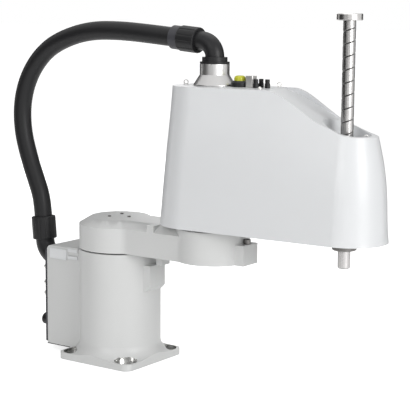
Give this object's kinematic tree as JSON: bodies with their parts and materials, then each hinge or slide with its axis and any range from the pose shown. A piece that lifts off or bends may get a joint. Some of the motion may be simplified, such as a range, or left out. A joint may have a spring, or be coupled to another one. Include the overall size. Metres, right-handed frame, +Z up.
{
  "type": "industrial robot arm",
  "caption": "Small horizontal-arm assembly robot: flared base column, two swinging arms, a moulded cover, a vertical screw spindle and a looping cable hose.",
  "frame": {"origin": "centre of the base plate's underside, on the axis of joint 1", "axes": "+X along both arms at rest, +Z up along the joint axes"},
  "size_m": [0.7662, 0.16, 0.611],
  "materials": {
    "paint": "satin light grey-white powder paint",
    "cover_plastic": "smooth satin white moulding",
    "dark_steel": "blackened steel",
    "bright_steel": "ground steel",
    "tower_aluminium": "turned aluminium",
    "black_plastic": "satin black moulding",
    "grey_plastic": "satin dark grey moulding",
    "hose_jacket": "smooth black jacket",
    "button_plastic": "yellow-green moulding",
    "silver": "satin nickel"
  },
  "bodies": {
    "base": {"base_casting": "paint", "axis_1_bearing_ring": "black_plastic", "rear_panel": "grey_plastic", "power_connector": "black_plastic", "signal_connector": "black_plastic", "rear_air_fittings": "silver", "hose_gland": "black_plastic", "lower_elbow": "black_plastic", "lower_hose_nut": "black_plastic"},
    "arm_1": {"arm_1_casting": "paint", "axis_1_stop_lug": "paint", "boss_screw": "dark_steel", "axis_2_bearing_ring": "black_plastic", "hose": "hose_jacket", "upper_hose_nut": "black_plastic", "upper_nut_ring": "grey_plastic", "upper_elbow": "black_plastic", "elbow_collar": "black_plastic"},
    "arm_2": {"arm_2_casting": "paint", "arm_2_cover": "cover_plastic", "hose_tower": "tower_aluminium", "button_base": "black_plastic", "release_button": "button_plastic", "user_connector": "silver", "top_air_fittings": "black_plastic"},
    "spindle_turn": {"spline_nut": "bright_steel", "spindle_flange": "dark_steel"},
    "spindle": {"spindle_shaft": "bright_steel", "spindle_top_stop": "bright_steel"}
  },
  "joints": [
    {"name": "axis_1", "type": "hinge", "parent": "base", "child": "arm_1", "pos_m": [0, 0, 0.199], "axis": [0, 0, 1], "range_deg": [-140, 140], "deforming": ["hose"]},
    {"name": "axis_2", "type": "hinge", "parent": "arm_1", "child": "arm_2", "pos_m": [0.2, 0, 0.2585], "axis": [0, 0, 1], "range_deg": [-150, 150]},
    {"name": "axis_4", "type": "hinge", "parent": "arm_2", "child": "spindle_turn", "pos_m": [0.45, 0, 0.2585], "axis": [0, 0, 1], "range_deg": [-400, 400]},
    {"name": "axis_3", "type": "slide", "parent": "spindle_turn", "child": "spindle", "axis": [0, 0, 1], "range_m": [-0.18, 0]}
  ]
}
